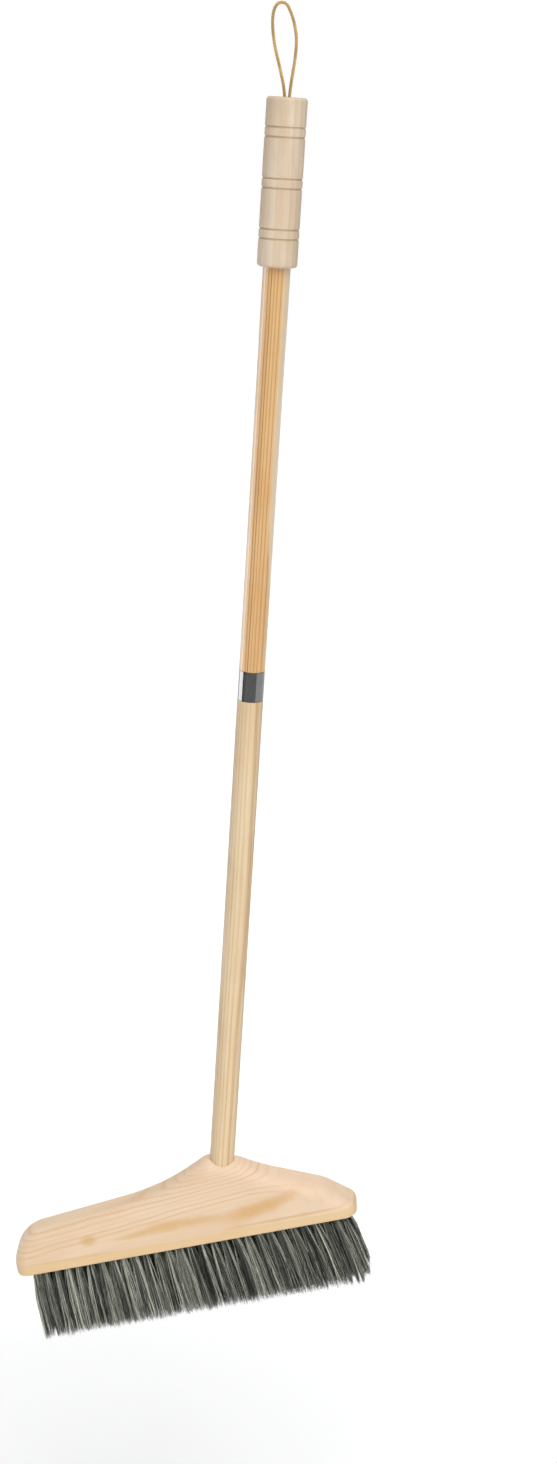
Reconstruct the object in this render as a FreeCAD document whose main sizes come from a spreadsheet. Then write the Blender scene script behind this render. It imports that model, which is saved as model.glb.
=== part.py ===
"""Wooden floor broom: turned grip with a cord loop, two-piece pole, steel ferrule, pine head, soft bristles.

The frame's origin is the inside top of the hanging loop, where a hook carries the broom. +Z is up along the pole,
+X points to the short side of the head, and -Y is the front. All sizes are in millimetres.
"""
import FreeCAD, Part
import Sketcher
import math
import os

from FreeCAD import Placement, Rotation, Vector

doc = FreeCAD.newDocument("Broom")

# ---------------------------------------------------------------- driving dimensions
DIMENSIONS = {
    # place of the pole's axis and of the grip's top, from the inside top of the loop
    "pole_axis_x": 6.8,
    "grip_top_drop": 56.4,
    # cord loop and its knot
    "cord_diameter": 2.0,
    "knot_diameter": 9.0,
    "knot_height": 7.0,
    "knot_round": 2.25,
    # turned grip
    "grip_diameter": 27.0,
    "grip_length": 108.0,
    "grip_edge_round": 2.2,
    "grip_roof": 16.0,
    "cord_hole_diameter": 6.0,
    "knot_room": 10.0,
    "groove_pairs": 3,
    "groove_first": 22.0,
    "groove_pair_pitch": 32.3,
    "groove_gap": 6.2,
    "groove_wire_radius": 0.9,
    "groove_depth": 0.6,
    # poles
    "pole_diameter": 18.5,
    "upper_pole_shown": 278.5,
    "lower_pole_shown": 366.3,
    "glue_gap": 0.05,
    # screw joint inside the ferrule
    "ferrule_length": 22.0,
    "ferrule_wall": 0.6,
    "ferrule_rim": 0.25,
    "running_gap": 0.06,
    "stud_diameter": 8.0,
    "stud_in_insert": 16.0,
    "stud_in_pole": 24.0,
    "stud_chamfer": 1.0,
    "stud_flange_diameter": 12.0,
    "stud_flange_height": 1.5,
    "insert_diameter": 13.0,
    "insert_length": 22.0,
    # head block, measured along and up from the middle of the line where the pole's axis meets its base
    "head_tilt": 15.9,
    "head_width": 36.0,
    "head_left": 158.0,
    "head_right": 110.0,
    "left_end_height": 30.0,
    "left_bend_u": 36.0,
    "left_bend_height": 43.2,
    "neck_height": 62.8,
    "neck_half_width": 12.4,
    "right_bend_u": 45.4,
    "right_bend_height": 45.8,
    "nose_top_u": 89.5,
    "nose_top_height": 24.4,
    "nose_height": 6.2,
    "left_end_radius": 28.5,
    "left_bend_radius": 165.0,
    "neck_radius": 9.5,
    "right_bend_radius": 140.0,
    "nose_top_radius": 34.0,
    "nose_radius": 8.5,
    "face_draft": 6.0,
    "crest_round": 10.0,
    "base_round": 1.6,
    "socket_depth": 38.0,
    # bristle tufts
    "tuft_rows": 5,
    "tufts_per_row": 28,
    "tuft_row_pitch": 6.8,
    "tuft_left_margin": 13.5,
    "tuft_right_margin": 12.5,
    "tuft_hole_diameter": 4.8,
    "tuft_hole_depth": 12.0,
    "tuft_tip_diameter": 6.6,
    "bristle_length": 55.0,
    "fan_left": -3.0,
    "fan_right": 11.5,
    "fan_across": 5.0,
    "anchor_thickness": 0.8,
    "anchor_width": 1.6,
    # how far a cutting tool passes the faces that it opens
    "cut_past": 1.0,
}

# Two places or sizes closer than this, in millimetres, count as the same one.
SAME = 0.05

sheet = doc.addObject("Spreadsheet::Sheet", "Dims")
for row, (alias, value) in enumerate(DIMENSIONS.items(), start=1):
    sheet.set("A%d" % row, alias)
    sheet.set("B%d" % row, str(value))
    sheet.setAlias("B%d" % row, alias)
doc.recompute()


def size(alias):
    """The value of one cell of the sheet."""
    return float(sheet.get(alias))


def cell(text):
    """An expression in which every driving dimension's name points at its cell."""
    words = []
    word = ""
    for letter in text + " ":
        if letter.isalnum() or letter == "_":
            word += letter
            continue
        words.append("Dims." + word if word in DIMENSIONS else word)
        words.append(letter)
        word = ""
    return "".join(words).strip()


def bind(thing, **expressions):
    """Ties properties of an object to expressions over the sheet; a double underscore stands for a dot."""
    for name, text in expressions.items():
        thing.setExpression(name.replace("__", "."), cell(text))


# ---------------------------------------------------------------- small helpers for turned pieces
def cylinder(name, radius, height, bottom):
    """A cylinder on the pole's axis, from its bottom level upwards."""
    piece = doc.addObject("Part::Cylinder", name)
    bind(piece, Radius=radius, Height=height, Placement__Base__x="pole_axis_x", Placement__Base__z=bottom)
    return piece


def cut(name, base, tools):
    """The base with every tool taken away."""
    tool = tools[0]
    if len(tools) > 1:
        tool = fuse(name + "_tools", tools)
    piece = doc.addObject("Part::Cut", name)
    piece.Base = base
    piece.Tool = tool
    return piece


def fuse(name, shapes):
    """One solid from several that touch or overlap."""
    piece = doc.addObject("Part::MultiFuse", name)
    piece.Shapes = shapes
    piece.Refine = True
    return piece


def ring_edges(shape, radius, levels):
    """Numbers of the full-circle edges of one radius that lie at any of the given levels."""
    found = []
    for number, edge in enumerate(shape.Edges, start=1):
        if not isinstance(edge.Curve, Part.Circle) or abs(edge.Curve.Radius - radius) > SAME:
            continue
        if any(abs(edge.Curve.Center.z - level) < SAME for level in levels):
            found.append(number)
    return found


def soften(name, kind, base, radius, levels, amount):
    """Rounds or chamfers the circular edges of one radius at the given levels."""
    doc.recompute()
    piece = doc.addObject(kind, name)
    piece.Base = base
    piece.Edges = [(number, amount, amount) for number in ring_edges(base.Shape, radius, levels)]
    return piece


def feature(name, shape):
    """A sub-part whose shape is worked out below from the sheet's sizes."""
    piece = doc.addObject("Part::Feature", name)
    piece.Shape = shape
    return piece


# Levels along the pole, as expressions over the sheet
GRIP_BOTTOM = "-grip_top_drop - grip_length"
FERRULE_TOP = "(-grip_top_drop - grip_length - upper_pole_shown)"
FERRULE_BOTTOM = "(-grip_top_drop - grip_length - upper_pole_shown - ferrule_length)"
PARTING = "(-grip_top_drop - grip_length - upper_pole_shown - ferrule_length / 2)"
NECK_TOP = "(-grip_top_drop - grip_length - upper_pole_shown - ferrule_length - lower_pole_shown)"
UPPER_POLE_TOP = "(-grip_top_drop - grip_roof - knot_room)"

grip_top = -size("grip_top_drop")
grip_bottom = grip_top - size("grip_length")
ferrule_top = grip_bottom - size("upper_pole_shown")
ferrule_bottom = ferrule_top - size("ferrule_length")
parting = (ferrule_top + ferrule_bottom) / 2
neck_top = ferrule_bottom - size("lower_pole_shown")
base_level = neck_top - size("neck_height")
axis_x = size("pole_axis_x")

# ---------------------------------------------------------------- grip
# A turned handle: plain cylinder, bored from below for the pole, with a roof and a small hole for the cord.
grip_body = cylinder("grip_body", "grip_diameter / 2", "grip_length", GRIP_BOTTOM)
grip_round = soften("grip_round", "Part::Fillet", grip_body, size("grip_diameter") / 2,
                    (grip_top, grip_bottom), size("grip_edge_round"))
pole_bore = cylinder("grip_pole_bore", "pole_diameter / 2 + glue_gap", "grip_length - grip_roof", GRIP_BOTTOM)
cord_hole = cylinder("grip_cord_hole", "cord_hole_diameter / 2", "grip_roof + 2 * cut_past",
                     "-grip_top_drop - grip_roof - cut_past")
groove_tools = []
for pair in range(int(size("groove_pairs"))):
    middle = "-grip_top_drop - groove_first - %d * groove_pair_pitch" % pair
    for label, level in (("upper", middle + " + groove_gap / 2"), ("lower", middle + " - groove_gap / 2")):
        wire = doc.addObject("Part::Torus", "groove_%d_%s" % (pair + 1, label))
        bind(wire, Radius1="grip_diameter / 2 - groove_depth + groove_wire_radius", Radius2="groove_wire_radius",
             Placement__Base__x="pole_axis_x", Placement__Base__z=level)
        groove_tools.append(wire)
grip = cut("grip", grip_round, [pole_bore, cord_hole] + groove_tools)

# ---------------------------------------------------------------- upper pole
# It is glued into the grip. Its lower end is turned down for the ferrule and bored for the threaded insert.
upper_pole_stick = cylinder("upper_pole_stick", "pole_diameter / 2", UPPER_POLE_TOP + " - " + FERRULE_TOP,
                            FERRULE_TOP)
upper_spigot = cylinder("upper_spigot", "pole_diameter / 2 - ferrule_wall - glue_gap",
                        "ferrule_length / 2 + cut_past", PARTING)
insert_bore = cylinder("insert_bore", "insert_diameter / 2 + glue_gap", "insert_length + cut_past",
                       PARTING + " - cut_past")
upper_pole = cut("upper_pole", fuse("upper_pole_blank", [upper_pole_stick, upper_spigot]), [insert_bore])

# ---------------------------------------------------------------- ferrule
# Thin steel sleeve, flush with both poles, with its rims rolled slightly inwards.
ferrule_outer = cylinder("ferrule_outer", "pole_diameter / 2", "ferrule_length", FERRULE_BOTTOM)
ferrule_rolled = soften("ferrule_rolled", "Part::Fillet", ferrule_outer, size("pole_diameter") / 2,
                        (ferrule_top, ferrule_bottom), size("ferrule_rim"))
ferrule_inner = cylinder("ferrule_inner", "pole_diameter / 2 - ferrule_wall", "ferrule_length + 2 * cut_past",
                         FERRULE_BOTTOM + " - cut_past")
ferrule = cut("ferrule", ferrule_rolled, [ferrule_inner])

# ---------------------------------------------------------------- screw joint
# The insert is glued in the upper pole. The stud turns out of it with the lower half of the broom.
insert_outer = cylinder("insert_outer", "insert_diameter / 2", "insert_length", PARTING)
insert_inner = cylinder("insert_inner", "stud_diameter / 2 + running_gap", "insert_length + 2 * cut_past",
                        PARTING + " - cut_past")
joint_insert = cut("joint_insert", insert_outer, [insert_inner])

STUD_BOTTOM = PARTING + " - stud_in_pole"
stud_shank = cylinder("stud_shank", "stud_diameter / 2", "stud_in_pole + stud_in_insert", STUD_BOTTOM)
stud_flange = cylinder("stud_flange", "stud_flange_diameter / 2", "stud_flange_height",
                       PARTING + " - stud_flange_height - running_gap")
stud_blank = fuse("stud_blank", [stud_shank, stud_flange])
joint_stud = soften("joint_stud", "Part::Chamfer", stud_blank, size("stud_diameter") / 2,
                    (parting - size("stud_in_pole"), parting + size("stud_in_insert")), size("stud_chamfer"))

# ---------------------------------------------------------------- lower pole
# Its upper end slides into the ferrule and turns on the stud. Its lower end is glued in the head's socket.
lower_pole_stick = cylinder("lower_pole_stick", "pole_diameter / 2", "lower_pole_shown + socket_depth",
                            NECK_TOP + " - socket_depth")
lower_spigot = cylinder("lower_spigot", "pole_diameter / 2 - ferrule_wall - running_gap",
                        "ferrule_length / 2 + cut_past - running_gap", FERRULE_BOTTOM + " - cut_past")
stud_bore = cylinder("stud_bore", "stud_diameter / 2 + running_gap", "stud_in_pole + 2 * cut_past",
                     STUD_BOTTOM + " - cut_past")
flange_recess = cylinder("flange_recess", "stud_flange_diameter / 2 + running_gap",
                         "stud_flange_height + 2 * cut_past",
                         PARTING + " - stud_flange_height - 2 * running_gap")
lower_pole = cut("lower_pole", fuse("lower_pole_blank", [lower_pole_stick, lower_spigot]),
                 [stud_bore, flange_recess])

# ---------------------------------------------------------------- head block
# Drawn in its own frame: X along its base, Z up from the base, and the origin where the pole's axis meets the
# base. The finished body is tilted about that point, so the pole leans towards the head's short side.

def neck_corner(side):
    """Along and up from the base's origin to one end of the neck's top, which is square to the pole."""
    along = "neck_height * sin(head_tilt * 1 deg) + (%d) * neck_half_width * cos(head_tilt * 1 deg)" % side
    up = "neck_height * cos(head_tilt * 1 deg) - (%d) * neck_half_width * sin(head_tilt * 1 deg)" % side
    return along, up


OUTLINE = [
    ("-head_left", "0"),
    ("-head_left", "left_end_height"),
    ("-left_bend_u", "left_bend_height"),
    neck_corner(-1),
    neck_corner(1),
    ("right_bend_u", "right_bend_height"),
    ("nose_top_u", "nose_top_height"),
    ("head_right", "nose_height"),
    ("head_right", "0"),
]
OUTLINE_RADII = {1: "left_end_radius", 2: "left_bend_radius", 3: "neck_radius", 4: "neck_radius",
                 5: "right_bend_radius", 6: "nose_top_radius", 7: "nose_radius"}
LONGEST_BEND = 0.95


def bend_radius(number):
    """A corner's own radius or, where its shorter side has no room for that, the largest that does fit."""
    (before_x, before_y), (corner_x, corner_y), (after_x, after_y) = OUTLINE[number - 1:number + 2]
    in_x, in_y = "((%s) - (%s))" % (corner_x, before_x), "((%s) - (%s))" % (corner_y, before_y)
    out_x, out_y = "((%s) - (%s))" % (after_x, corner_x), "((%s) - (%s))" % (after_y, corner_y)
    side_in, side_out = "hypot(%s; %s)" % (in_x, in_y), "hypot(%s; %s)" % (out_x, out_y)
    across = "abs(%s * %s - %s * %s)" % (in_x, out_y, in_y, out_x)
    ahead = "(%s * %s + %s * %s)" % (in_x, out_x, in_y, out_y)
    room = "%s * min(%s; %s) * (%s * %s + %s) / %s" % (
        LONGEST_BEND, side_in, side_out, side_in, side_out, ahead, across)
    return "min(%s; %s)" % (OUTLINE_RADII[number], room)


def origin_plane(body, role):
    """One of a body's own origin planes."""
    return next(item for item in body.Origin.OriginFeatures if item.Role == role)


def sketch_on(body, name, role, offset=None):
    """A sketch attached to one of the body's origin planes."""
    sketch = body.newObject("Sketcher::SketchObject", name)
    sketch.AttachmentSupport = [(origin_plane(body, role), "")]
    sketch.MapMode = "FlatFace"
    if offset is not None:
        sketch.AttachmentOffset = Placement(offset, Rotation())
    return sketch


def evaluated(text):
    """The number that an expression over the sheet gives, for a sketch's first guess at a point."""
    probe = doc.getObject("Probe") or doc.addObject("App::FeaturePython", "Probe")
    if "Value" not in probe.PropertiesList:
        probe.addProperty("App::PropertyFloat", "Value")
    probe.setExpression("Value", cell(text))
    probe.recompute()
    return probe.Value


# The sketcher's numbers for a sketch's own origin, and for a curve's two ends and its centre
ORIGIN_POINT, START, END, CENTRE = -1, 1, 2, 3


def closed_polygon(sketch, corners):
    """Straight lines from corner to corner, every corner tied to the sheet through two dimensions."""
    points = [Vector(evaluated(x), evaluated(y), 0) for x, y in corners]
    for number, start in enumerate(points):
        sketch.addGeometry(Part.LineSegment(start, points[(number + 1) % len(points)]), False)
    for number in range(len(points)):
        sketch.addConstraint(Sketcher.Constraint("Coincident", number, END, (number + 1) % len(points), START))
    for number, (x, y) in enumerate(corners):
        for kind, text, value in (("DistanceX", x, points[number].x), ("DistanceY", y, points[number].y)):
            index = sketch.addConstraint(Sketcher.Constraint(kind, ORIGIN_POINT, START, number, START, value))
            sketch.setExpression("Constraints[%d]" % index, cell(text))


head = doc.addObject("PartDesign::Body", "head_block")
outline = sketch_on(head, "head_outline", "XZ_Plane")
closed_polygon(outline, OUTLINE)
slab = head.newObject("PartDesign::Pad", "head_slab")
slab.Profile = outline
slab.Midplane = True
bind(slab, Length="head_width")
doc.recompute()


def cross_edges(shape, corner):
    """Names of the slab's edges that run from front to back through one corner of its outline."""
    names = []
    for number, edge in enumerate(shape.Edges, start=1):
        ends = [vertex.Point for vertex in edge.Vertexes]
        if len(ends) == 2 and all(math.hypot(end.x - corner[0], end.z - corner[1]) < SAME for end in ends):
            names.append("Edge%d" % number)
    return names


rounded = slab
for number in OUTLINE_RADII:
    corner = tuple(evaluated(text) for text in OUTLINE[number])
    bend = head.newObject("PartDesign::Fillet", "outline_bend_%d" % number)
    bend.Base = (rounded, cross_edges(rounded.Shape, corner))
    bind(bend, Radius=bend_radius(number))
    doc.recompute()
    rounded = bend

# The front and back lean in from the base, so the block is thinner at its crest.
for name, front in (("front_face_cut", True), ("back_face_cut", False)):
    wedge = sketch_on(head, name, "YZ_Plane")
    out = "-" if front else ""
    closed_polygon(wedge, [
        (out + "head_width / 2", "0"),
        (out + "head_width", "0"),
        (out + "head_width", "2 * neck_height"),
        (out + "(head_width / 2 - 2 * neck_height * tan(face_draft * 1 deg))", "2 * neck_height"),
    ])
    shave = head.newObject("PartDesign::Pocket", name + "_pocket")
    shave.Profile = wedge
    shave.Type = "ThroughAll"
    shave.Midplane = True
    doc.recompute()
    rounded = shave


def half_width_at(height):
    """Half of the block's width at a height above its base, before any edge is rounded."""
    return size("head_width") / 2 - height * math.tan(math.radians(size("face_draft")))


def crest_edges(shape):
    """Names of the edges where the leaning faces meet the ends and the top of the block."""
    names = []
    for number, edge in enumerate(shape.Edges, start=1):
        middle = edge.valueAt((edge.FirstParameter + edge.LastParameter) / 2)
        if abs(abs(middle.y) - half_width_at(middle.z)) < SAME < middle.z:
            names.append("Edge%d" % number)
    return names


crest = head.newObject("PartDesign::Fillet", "crest_rounding")
crest.Base = (rounded, crest_edges(rounded.Shape))
bind(crest, Radius="crest_round")
doc.recompute()

base_loop = ["Edge%d" % number for number, edge in enumerate(crest.Shape.Edges, start=1)
             if edge.BoundBox.ZMax < SAME]
base_rounding = head.newObject("PartDesign::Fillet", "base_rounding")
base_rounding.Base = (crest, base_loop)
bind(base_rounding, Radius="base_round")
doc.recompute()

# Rows of blind holes for the tufts. Every other row is set half a pitch along.
rows = int(size("tuft_rows"))
tufts = int(size("tufts_per_row"))
TUFT_PITCH = "((head_left + head_right - tuft_left_margin - tuft_right_margin) / (tufts_per_row - 0.5))"


def row_start(row):
    """Along the base to the first tuft of a row."""
    return "-head_left + tuft_left_margin + %s * %s" % (0.5 * (row % 2), TUFT_PITCH)


def row_across(row):
    """From the base's middle line to a row, negative at the front."""
    return "(%d - (tuft_rows - 1) / 2) * tuft_row_pitch" % row


for row in range(rows):
    hole = sketch_on(head, "tuft_hole_%d" % (row + 1), "XY_Plane")
    start = Vector(evaluated(row_start(row)), evaluated(row_across(row)), 0)
    hole.addGeometry(Part.Circle(start, Vector(0, 0, 1), size("tuft_hole_diameter") / 2), False)
    for kind, text, value in (("DistanceX", row_start(row), start.x), ("DistanceY", row_across(row), start.y)):
        index = hole.addConstraint(Sketcher.Constraint(kind, ORIGIN_POINT, START, 0, CENTRE, value))
        hole.setExpression("Constraints[%d]" % index, cell(text))
    index = hole.addConstraint(Sketcher.Constraint("Diameter", 0, size("tuft_hole_diameter")))
    hole.setExpression("Constraints[%d]" % index, cell("tuft_hole_diameter"))
    drill = head.newObject("PartDesign::Pocket", "tuft_drill_%d" % (row + 1))
    drill.Profile = hole
    drill.Reversed = True
    bind(drill, Length="tuft_hole_depth")
    doc.recompute()
    line = head.newObject("PartDesign::LinearPattern", "tuft_row_%d" % (row + 1))
    line.Originals = [drill]
    line.Direction = (hole, ["H_Axis"])
    bind(line, Length="%s * (tufts_per_row - 1)" % TUFT_PITCH)
    line.Occurrences = tufts
    head.Tip = line
    doc.recompute()

head.Placement = Placement(Vector(axis_x, 0, base_level), Rotation(Vector(0, -1, 0), size("head_tilt")))
bind(head, Placement__Base__x="pole_axis_x", Placement__Base__z=NECK_TOP + " - neck_height",
     Placement__Rotation__Angle="head_tilt * 1 deg")
socket = cylinder("pole_socket", "pole_diameter / 2 + glue_gap", "socket_depth + neck_height",
                  NECK_TOP + " - socket_depth")
head_block = cut("head_block_drilled", head, [socket])

# ---------------------------------------------------------------- bristle tufts and their anchors
# Each tuft is folded over a flat anchor that is wedged in the end of its hole. Below the base the tufts spread
# and fan out. They are drawn in the head block's frame and then placed with it.
tuft_first = {row: evaluated(row_start(row)) for row in range(rows)}
tuft_pitch = evaluated(TUFT_PITCH)
base_middle = (size("head_right") - size("head_left")) / 2
base_half = (size("head_right") + size("head_left")) / 2


def circle_wire(centre, radius):
    """A flat round wire, square to the base."""
    return Part.Wire(Part.makeCircle(radius, centre, Vector(0, 0, 1)))


def tuft_solid(along, across):
    """One tuft: a straight plug in its hole, then a cone that leans with its place on the base."""
    share = (along - base_middle) / base_half
    lean_along = size("fan_left") + (size("fan_right") - size("fan_left")) * (share + 1) / 2
    lean_across = size("fan_across") * across / (size("tuft_row_pitch") * max(rows - 1, 1) / 2)
    length = size("bristle_length")
    foot = Vector(along, across, 0)
    tip = Vector(along + length * math.tan(math.radians(lean_along)),
                 across + length * math.tan(math.radians(lean_across)), -length)
    hole_radius = size("tuft_hole_diameter") / 2 - size("glue_gap")
    plug = Part.makeCylinder(hole_radius, size("tuft_hole_depth") - size("anchor_thickness"), foot)
    spread = Part.makeLoft([circle_wire(foot, hole_radius), circle_wire(tip, size("tuft_tip_diameter") / 2)],
                           True, True)
    return plug.fuse(spread).Solids[0]


def anchor_solid(along, across):
    """One flat anchor across the end of a tuft hole."""
    hole_radius = size("tuft_hole_diameter") / 2 - size("glue_gap")
    half_length = math.sqrt(hole_radius ** 2 - (size("anchor_width") / 2) ** 2)
    corner = Vector(along - half_length, across - size("anchor_width") / 2,
                    size("tuft_hole_depth") - size("anchor_thickness"))
    return Part.makeBox(2 * half_length, size("anchor_width"), size("anchor_thickness"), corner)


bristle_rows = []
anchor_rows = []
for row in range(rows):
    places = [(tuft_first[row] + number * tuft_pitch, evaluated(row_across(row))) for number in range(tufts)]
    for label, maker, kept in (("bristle_row", tuft_solid, bristle_rows), ("anchors_row", anchor_solid, anchor_rows)):
        piece = feature("%s_%d" % (label, row + 1), Part.makeCompound([maker(*place) for place in places]))
        piece.Placement = head.Placement
        kept.append(piece)

# ---------------------------------------------------------------- cord loop and knot
# Both ends of the cord go down through the small hole in the grip's roof into one knot under it.
# The points are along X from the pole's axis and up from the grip's top.
CORD_ROUTE = [
    (-1.15, -16.0), (-1.25, -5.0), (-2.3, 5.0), (-5.9, 17.5), (-10.3, 31.0), (-12.6, 44.0), (-12.3, 52.7),
    (-9.5, 57.55), (-4.2, 57.5), (-1.0, 52.0), (2.0, 44.5), (3.9, 35.0), (3.5, 23.0), (2.0, 10.5),
    (1.2, -1.0), (1.15, -16.0),
]
ARC_SHARE = 0.45


def rounded_path(points):
    """Straight runs joined by tangent arcs, each as large as its two runs allow, and the arcs' radii."""
    edges = []
    radii = []
    start = points[0]
    for before, corner, after in zip(points, points[1:], points[2:]):
        back = (before - corner).normalize()
        ahead = (after - corner).normalize()
        half_turn = (math.pi - back.getAngle(ahead)) / 2
        run = min(before.distanceToPoint(corner), after.distanceToPoint(corner)) * ARC_SHARE
        first = corner + back * run
        last = corner + ahead * run
        radius = run / math.tan(half_turn)
        middle = (back + ahead).normalize() * (radius / math.cos(half_turn) - radius)
        edges.append(Part.LineSegment(start, first).toShape())
        edges.append(Part.Arc(first, corner + middle, last).toShape())
        radii.append(radius)
        start = last
    edges.append(Part.LineSegment(start, points[-1]).toShape())
    return Part.Wire(edges), radii


route = [Vector(axis_x + x, 0, grip_top + z) for x, z in CORD_ROUTE]
route[0].z = route[-1].z = grip_top - size("grip_roof")
cord_path, cord_radii = rounded_path(route)
cord_section = Part.Wire(Part.makeCircle(size("cord_diameter") / 2, route[0], (route[1] - route[0]).normalize()))
hanging_loop = feature("hanging_loop", cord_path.makePipeShell([cord_section], True, False))
print("cord arc radii", " ".join("%.1f" % radius for radius in cord_radii))
print("cord length %.1f, volume over section times length %.4f" % (
    cord_path.Length,
    hanging_loop.Shape.Volume / (cord_path.Length * math.pi * size("cord_diameter") ** 2 / 4)))

knot_barrel = cylinder("knot_barrel", "knot_diameter / 2", "knot_height", "-grip_top_drop - grip_roof - knot_height")
loop_knot = soften("loop_knot", "Part::Fillet", knot_barrel, size("knot_diameter") / 2,
                   (grip_top - size("grip_roof"), grip_top - size("grip_roof") - size("knot_height")),
                   size("knot_round"))

# ---------------------------------------------------------------- checks and files
doc.recompute()
NODES = {
    "hanging_loop": hanging_loop, "loop_knot": loop_knot, "grip": grip, "upper_pole": upper_pole,
    "ferrule": ferrule, "joint_insert": joint_insert, "joint_stud": joint_stud, "lower_pole": lower_pole,
    "head_block": head_block,
}
for row in range(rows):
    NODES["bristle_row_%d" % (row + 1)] = bristle_rows[row]
    NODES["anchors_row_%d" % (row + 1)] = anchor_rows[row]

for item in doc.Objects:
    if "Invalid" in item.State or "Error" in item.State:
        raise RuntimeError("%s failed: %s" % (item.Name, item.State))
for label, node in NODES.items():
    if node.Shape.isNull() or not node.Shape.isValid() or not node.Shape.Solids:
        raise RuntimeError(label + " has no valid solid")

os.makedirs("parts", exist_ok=True)
head.Label = "head_block_body"
for label, node in NODES.items():
    node.Label = label
    node.Shape.exportStep("parts/%s.step" % label)
    box = node.Shape.BoundBox
    print("%-14s solids %3d volume %9.0f  x %.1f..%.1f  y %.1f..%.1f  z %.1f..%.1f" % (
        label, len(node.Shape.Solids), node.Shape.Volume, box.XMin, box.XMax, box.YMin, box.YMax,
        box.ZMin, box.ZMax))
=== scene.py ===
"""Wooden floor broom: the looks of its pieces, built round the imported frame. Metres, +Z up along the pole."""
import math

import bpy
import numpy as np
from mathutils import Euler, Matrix, Vector


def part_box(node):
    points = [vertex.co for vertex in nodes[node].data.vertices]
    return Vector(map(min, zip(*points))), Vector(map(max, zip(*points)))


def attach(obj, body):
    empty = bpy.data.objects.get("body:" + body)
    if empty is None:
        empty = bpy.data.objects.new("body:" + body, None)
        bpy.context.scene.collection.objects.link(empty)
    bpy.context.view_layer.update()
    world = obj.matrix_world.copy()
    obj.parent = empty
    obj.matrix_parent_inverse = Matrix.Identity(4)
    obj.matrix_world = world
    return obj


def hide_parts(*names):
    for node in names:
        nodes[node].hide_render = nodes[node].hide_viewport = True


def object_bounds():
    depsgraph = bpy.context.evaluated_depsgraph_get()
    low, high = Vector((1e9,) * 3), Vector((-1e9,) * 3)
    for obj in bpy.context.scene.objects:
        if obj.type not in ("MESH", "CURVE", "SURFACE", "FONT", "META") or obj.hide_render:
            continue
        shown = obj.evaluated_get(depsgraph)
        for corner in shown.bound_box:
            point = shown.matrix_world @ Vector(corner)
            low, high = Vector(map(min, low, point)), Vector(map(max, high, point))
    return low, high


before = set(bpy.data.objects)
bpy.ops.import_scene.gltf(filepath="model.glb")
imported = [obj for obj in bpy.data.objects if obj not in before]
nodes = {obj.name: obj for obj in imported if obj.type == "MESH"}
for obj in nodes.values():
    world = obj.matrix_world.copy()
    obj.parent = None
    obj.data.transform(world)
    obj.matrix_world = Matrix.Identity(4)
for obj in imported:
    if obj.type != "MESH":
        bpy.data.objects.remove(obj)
cad_low, cad_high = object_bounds()

# ---------------------------------------------------------------- camera and studio
# The broom hangs clear of a pale floor in even studio light. The camera stands a little above the grip and
# looks down the pole, turned slightly about its own line of sight.
grip_low, grip_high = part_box("grip")
axis_x = (grip_low.x + grip_high.x) / 2
LENS_MM = 50.0
SENSOR_MM = 36.0
CAMERA_PLACE = Vector((axis_x + 0.0215, -1.3818, grip_high.z + 0.0046))
CAMERA_DOWN = math.radians(17.515)
CAMERA_ROLL = math.radians(3.79)

lens = bpy.data.cameras.new("studio_camera")
lens.lens = LENS_MM
lens.sensor_width = SENSOR_MM
camera = bpy.data.objects.new("studio_camera", lens)
bpy.context.scene.collection.objects.link(camera)
camera.matrix_world = (Matrix.Translation(CAMERA_PLACE)
                       @ Euler((math.pi / 2 - CAMERA_DOWN, 0, 0)).to_matrix().to_4x4()
                       @ Matrix.Rotation(CAMERA_ROLL, 4, "Z"))
bpy.context.scene.camera = camera
bpy.context.scene.view_settings.view_transform = "Standard"


def linear(red, green, blue):
    """A display colour from 0 to 255 as the linear colour that a shader socket takes."""
    shares = [part / 255 for part in (red, green, blue)]
    return tuple(s / 12.92 if s <= 0.04045 else ((s + 0.055) / 1.055) ** 2.4 for s in shares) + (1.0,)


def place(tree, kind, inputs=None, **settings):
    """A node of one kind with its settings made, and its inputs set to values or joined to other sockets."""
    node = tree.nodes.new(kind)
    for name, value in settings.items():
        setattr(node, name, value)
    for key, value in (inputs or {}).items():
        if isinstance(value, bpy.types.NodeSocket):
            tree.links.new(value, node.inputs[key])
        else:
            node.inputs[key].default_value = value
    return node


def new_material(name, **shader_values):
    """An empty material with its Principled shader, whose sockets get the given values."""
    material = bpy.data.materials.new(name)
    material.use_nodes = True
    tree = material.node_tree
    shader = tree.nodes["Principled BSDF"]
    for socket, value in shader_values.items():
        shader.inputs[socket.replace("_", " ")].default_value = value
    return material, tree, shader


world = bpy.data.worlds.new("studio_air")
world.use_nodes = True
air = world.node_tree
air.nodes.clear()
soft_air = place(air, "ShaderNodeBackground", {"Color": (0.98, 0.99, 1.0, 1.0), "Strength": 0.54})
white_air = place(air, "ShaderNodeBackground", {"Color": (1.0, 1.0, 1.0, 1.0), "Strength": 1.0})
either = place(air, "ShaderNodeMixShader", {0: place(air, "ShaderNodeLightPath").outputs["Is Camera Ray"],
                                            1: soft_air.outputs[0], 2: white_air.outputs[0]})
place(air, "ShaderNodeOutputWorld", {"Surface": either.outputs[0]})
bpy.context.scene.world = world


def gloss_panel(name, place_at, aim_at, width, height, radiance):
    """A flat panel that faces a point. It shows in reflections and lights nothing else."""
    light = bpy.data.lights.new(name, "AREA")
    light.shape = "RECTANGLE"
    light.size = width
    light.size_y = height
    light.energy = radiance * math.pi * width * height
    lamp = bpy.data.objects.new(name, light)
    bpy.context.scene.collection.objects.link(lamp)
    lamp.location = place_at
    lamp.rotation_euler = (Vector(aim_at) - Vector(place_at)).to_track_quat("-Z", "Y").to_euler()
    lamp.visible_camera = False
    lamp.visible_diffuse = False


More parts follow.
